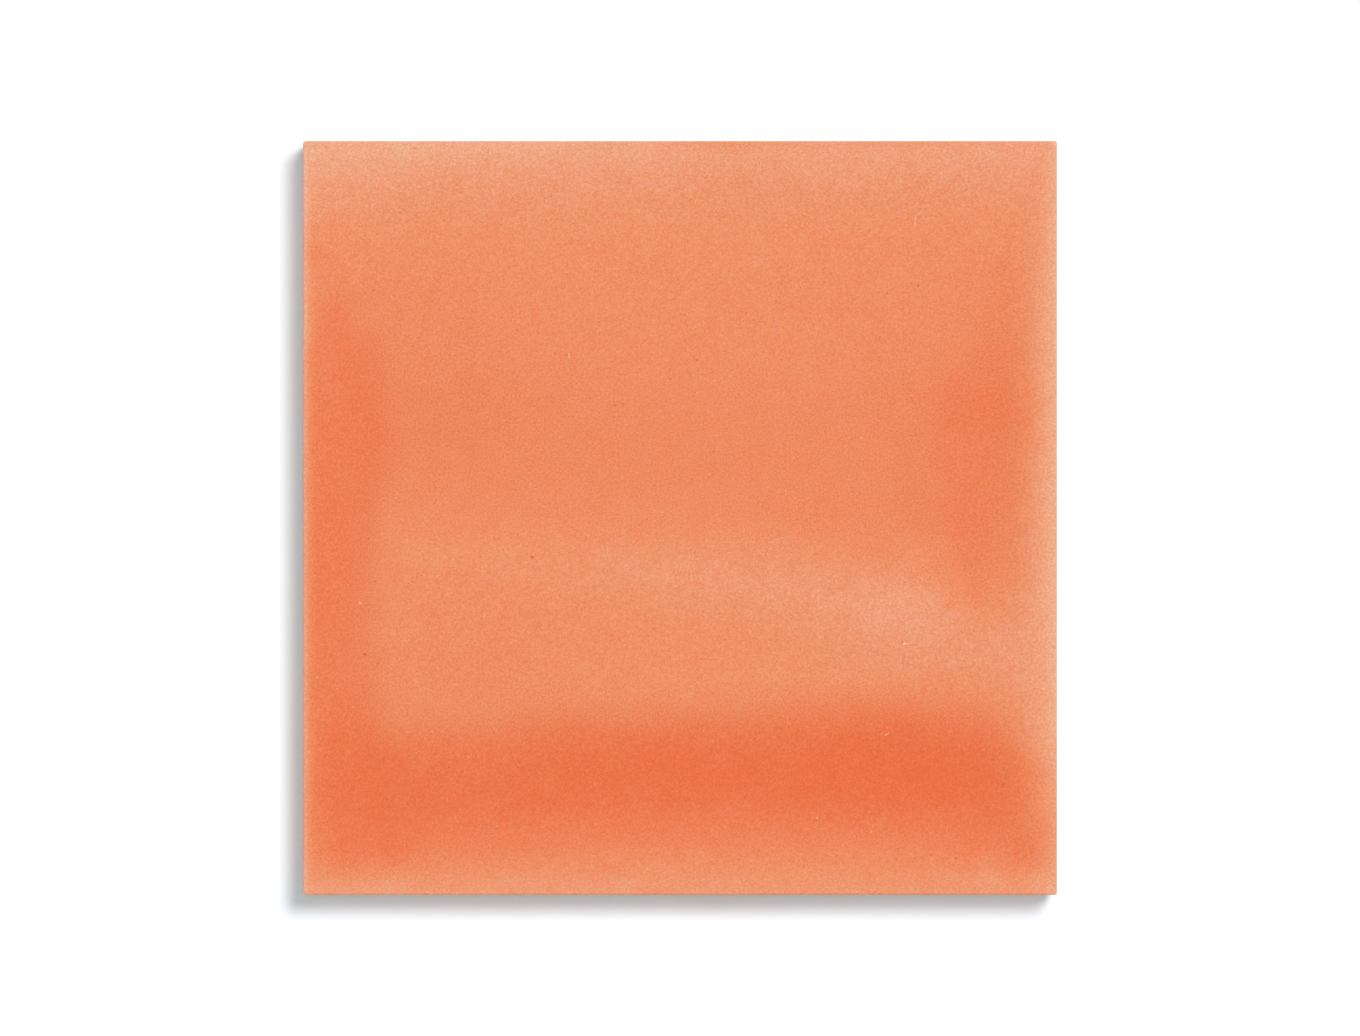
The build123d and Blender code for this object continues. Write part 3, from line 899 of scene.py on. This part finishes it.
def scattered(n, place, per_mm, radius, share):
    """Round marks in the cells of a Voronoi pattern: 1 in the middle of each, in a share of the cells."""
    cells = n.add("ShaderNodeTexVoronoi")
    n.wire(place, cells.inputs["Vector"])
    cells.inputs["Scale"].default_value = per_mm
    pick = n.add("ShaderNodeSeparateColor")
    n.wire(cells.outputs["Color"], pick.inputs[0])
    chosen = n.math("LESS_THAN", pick.outputs[0], share)
    size = n.ramp(pick.outputs[1], 0, 1, 0.5 * radius * per_mm, radius * per_mm)
    mark = n.math("SUBTRACT", 1.0, n.math("DIVIDE", cells.outputs["Distance"], size), clamp=True)
    return n.math("MULTIPLY", mark, chosen)


def marked(n, place, mark):
    """One oval mark: 1 inside it, 0 outside."""
    local = n.add("ShaderNodeMapping", vector_type="TEXTURE")
    n.wire(place, local.inputs["Vector"])
    local.inputs["Location"].default_value = (mark.x, mark.y, 0)
    local.inputs["Rotation"].default_value = (0, 0, radians(mark.turn))
    local.inputs["Scale"].default_value = (mark.half_length, mark.half_width, HUGE)
    away = n.add("ShaderNodeVectorMath", operation="LENGTH")
    n.wire(local.outputs[0], away.inputs[0])
    return n.ramp(away.outputs["Value"], MARK_RIM, MARK_CORE)


def surface(n, colour, rough, height):
    """Puts the colour, the roughness and the height of the surface, in metres, on the material."""
    shader = n.add("ShaderNodeBsdfPrincipled")
    n.wire(colour, shader.inputs["Base Color"])
    n.wire(rough, shader.inputs["Roughness"])
    bump = n.add("ShaderNodeBump")
    bump.inputs["Distance"].default_value = 1.0
    bump.inputs["Strength"].default_value = 1.0
    n.wire(height, bump.inputs["Height"])
    n.wire(bump.outputs[0], shader.inputs["Normal"])
    n.wire(shader.outputs[0], n.add("ShaderNodeOutputMaterial").inputs["Surface"])


def glaze_material(look):
    """A clear tinted glaze over pale clay: the thicker it lies, the deeper its orange."""
    n = Nodes(bpy.data.materials.new("orange_glaze"))
    place = millimetre_places(n)
    depth = n.add("ShaderNodeAttribute", attribute_name="glaze_mm").outputs["Fac"]

    clouds = n.math("SUBTRACT", n.noise(place, scale=0.35, detail=3.0), 0.5)
    grain = n.math("SUBTRACT", n.noise(place, scale=3.6, detail=1.0, roughness=0.6), 0.5)
    specks = scattered(n, place, per_mm=1.1, radius=0.16, share=0.35)
    pinholes = scattered(n, place, per_mm=0.16, radius=0.14, share=0.25)
    for pattern, strength in (
        (clouds, CLOUD_GLAZE), (grain, GRAIN_GLAZE), (specks, SPECK_GLAZE), (pinholes, PINHOLE_GLAZE)
    ):
        depth = n.math("MULTIPLY_ADD", pattern, strength, depth)

    hue = n.noise(shifted(n, place), scale=3.9, detail=1.0, roughness=0.6, colour=True)
    light, green, blue = (n.math("SUBTRACT", channel, 0.5) for channel in hue)
    light = n.math("MULTIPLY_ADD", grain, SHADE_OF_GLAZE_GRAIN, light)
    shade = n.math("MULTIPLY_ADD", light, SHADE_GRAIN, 1.0)
    for mark in FACE_MARKS.values():
        oval = marked(n, place, mark)
        depth = n.math("MULTIPLY_ADD", oval, mark.gain, depth)
        if mark.gain > 0:
            shade = n.math("MULTIPLY_ADD", oval, -IRON_DARKENING * mark.gain, shade)
    depth = n.math("MAXIMUM", depth, 0.0)

    green = n.math("MULTIPLY_ADD", green, GREEN_GRAIN, shade)
    blue = n.math("MULTIPLY_ADD", blue, BLUE_GRAIN, shade)
    channels = []
    for clay, taken, tint in zip(look.clay, look.absorption, (shade, green, blue)):
        passed = n.math("EXPONENT", n.math("MULTIPLY", depth, -taken))
        seen = n.math("MULTIPLY", n.math("MULTIPLY", passed, clay), tint)
        beneath = n.math("MULTIPLY_ADD", seen, 1 / (1 - look.veil), -look.veil / (1 - look.veil))
        channels.append(n.math("MAXIMUM", beneath, DARKEST_CHANNEL))

    patches = n.noise(place, scale=0.5, detail=2.0)
    least = look.glaze_roughness - GLAZE_ROUGHNESS_RANGE / 2
    rough = n.math("MULTIPLY_ADD", patches, GLAZE_ROUGHNESS_RANGE, least)
    peel = n.math("MULTIPLY", n.noise(place, scale=0.9, detail=2.0), PEEL_HEIGHT * MM)
    height = n.math("MULTIPLY_ADD", pinholes, -PINHOLE_DEPTH * MM, peel)
    surface(n, n.colour_of(channels), rough, height)
    return n.owner


def clay_material(look):
    """Bare fired clay: pale, dry and slightly gritty."""
    n = Nodes(bpy.data.materials.new("bare_clay"))
    place = millimetre_places(n)
    cloud = n.noise(place, scale=0.12, detail=4.0, roughness=0.6)
    grit = n.noise(place, scale=3.2, detail=3.0, roughness=0.7)
    iron = scattered(n, place, per_mm=0.55, radius=0.2, share=0.3)
    cloud_tone = n.ramp(cloud, NOISE_LOW, NOISE_HIGH, *CLOUD_TONE)
    tone = n.math("ADD", cloud_tone, n.ramp(grit, NOISE_LOW, NOISE_HIGH, *GRIT_TONE))
    tone = n.math("MULTIPLY_ADD", iron, IRON_TONE, tone)
    channels = [n.math("MULTIPLY", tone, clay * tint) for clay, tint in zip(look.clay, BARE_CLAY_TINT)]
    least = look.clay_roughness - CLAY_ROUGHNESS_FALL
    most = look.clay_roughness + CLAY_ROUGHNESS_RISE
    rough = n.ramp(grit, NOISE_LOW, NOISE_HIGH, least, most)
    height = n.math("MULTIPLY", n.math("ADD", grit, cloud), GRIT_HEIGHT * MM)
    surface(n, n.colour_of(channels), rough, height)
    return n.owner


def floor_material(stage):
    """A white floor that keeps shadows, a little brighter to the camera than to the tile."""
    n = Nodes(bpy.data.materials.new("white_floor"))
    seen = n.add("ShaderNodeLightPath").outputs["Is Camera Ray"]
    channels = []
    for tint in FLOOR_TINT:
        more = stage.floor_white * tint - FLOOR_BOUNCE
        channels.append(n.math("MULTIPLY_ADD", seen, more, FLOOR_BOUNCE))
    shader = n.add("ShaderNodeBsdfDiffuse")
    n.wire(n.colour_of(channels), shader.inputs["Color"])
    n.wire(shader.outputs[0], n.add("ShaderNodeOutputMaterial").inputs["Surface"])
    return n.owner


def level_sky(share):
    """A sky that lights evenly with its share, and that the camera and the gloss see as plain white."""
    n = Nodes(bpy.data.worlds.new("level_sky"))
    path = n.add("ShaderNodeLightPath")
    seen = n.math("MAXIMUM", path.outputs["Is Camera Ray"], path.outputs["Is Glossy Ray"])
    background = n.add("ShaderNodeBackground")
    background.inputs["Color"].default_value = (1, 1, 1, 1)
    n.wire(n.math("MULTIPLY_ADD", seen, 1 - share, share), background.inputs["Strength"])
    n.wire(background.outputs[0], n.add("ShaderNodeOutputWorld").inputs["Surface"])
    return n.owner


# Scene


def put_in_scene(name, data):
    """A new object with this data, in the scene."""
    obj = bpy.data.objects.new(name, data)
    bpy.context.scene.collection.objects.link(obj)
    return obj


def sun(name, level_share, elevation, azimuth, angle):
    """A distant lamp that gives a level surface the stated share of its light."""
    data = bpy.data.lights.new(name, "SUN")
    data.angle = angle
    data.energy = pi * level_share / np.sin(elevation)
    lamp = put_in_scene(name, data)
    towards = Vector(
        (np.cos(azimuth) * np.cos(elevation), np.sin(azimuth) * np.cos(elevation), np.sin(elevation))
    )
    lamp.rotation_mode = "QUATERNION"
    lamp.rotation_quaternion = towards.to_track_quat("Z", "Y")
    lamp.location = towards
    return lamp


# Operators


class WALLTILE_OT_tile(Operator):
    """Build the glazed tile over its solid"""

    bl_idname = "walltile.tile"
    bl_label = "Glazed Tile"

    def execute(self, context):
        scene = context.scene
        piece = put_in_scene("glazed_tile", tile_mesh(scene.tile_sizes))
        piece.data.materials.append(glaze_material(scene.glaze_look))
        piece.data.materials.append(clay_material(scene.glaze_look))
        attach(piece, "root")
        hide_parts(NODE)
        return {"FINISHED"}


class WALLTILE_OT_stage(Operator):
    """Set the floor, the lamps, the sky and the camera"""

    bl_idname = "walltile.stage"
    bl_label = "Stage"

    def execute(self, context):
        stage = context.scene.stage_look
        half = stage.floor_size / 2
        mesh = bpy.data.meshes.new("floor")
        corners = [(-half, -half, 0), (half, -half, 0), (half, half, 0), (-half, half, 0)]
        mesh.from_pydata(corners, [], [(0, 1, 2, 3)])
        floor = put_in_scene("floor", mesh)
        floor.data.materials.append(floor_material(stage))

        sun("key_lamp", stage.key_share, stage.key_elevation, stage.key_azimuth, stage.key_spread)
        overhead = sun("overhead_lamp", stage.overhead_share, pi / 2, 0.0, stage.overhead_spread)
        overhead.visible_glossy = False
        context.scene.world = level_sky(stage.sky_share)

        camera = bpy.data.cameras.new("camera")
        camera.lens = stage.lens
        camera.sensor_width = CAMERA_SENSOR
        camera.clip_start, camera.clip_end = CAMERA_CLIP
        holder = put_in_scene("camera", camera)
        holder.location = (0, 0, stage.camera_height)
        context.scene.camera = holder
        context.scene.view_settings.view_transform = "Standard"
        return {"FINISHED"}


class WALLTILE_PT_panel(Panel):
    """The tile's pieces and settings"""

    bl_idname = "WALLTILE_PT_panel"
    bl_label = "Wall Tile"
    bl_space_type = "VIEW_3D"
    bl_region_type = "UI"
    bl_category = "Wall Tile"

    def draw(self, context):
        for operator in (WALLTILE_OT_tile, WALLTILE_OT_stage):
            self.layout.operator(operator.bl_idname)
        for settings in (context.scene.tile_sizes, context.scene.glaze_look, context.scene.stage_look):
            box = self.layout.box()
            for name in settings.__annotations__:
                box.prop(settings, name)


CLASSES = (TileSizes, GlazeLook, StageLook, WALLTILE_OT_tile, WALLTILE_OT_stage, WALLTILE_PT_panel)


def register():
    for cls in CLASSES:
        bpy.utils.register_class(cls)
    bpy.types.Scene.tile_sizes = PointerProperty(type=TileSizes)
    bpy.types.Scene.glaze_look = PointerProperty(type=GlazeLook)
    bpy.types.Scene.stage_look = PointerProperty(type=StageLook)


def unregister():
    del bpy.types.Scene.stage_look
    del bpy.types.Scene.glaze_look
    del bpy.types.Scene.tile_sizes
    for cls in reversed(CLASSES):
        bpy.utils.unregister_class(cls)


def main():
    """Builds the tile and its stage."""
    register()
    bpy.ops.walltile.tile()
    bpy.ops.walltile.stage()


if __name__ == "__main__":
    main()
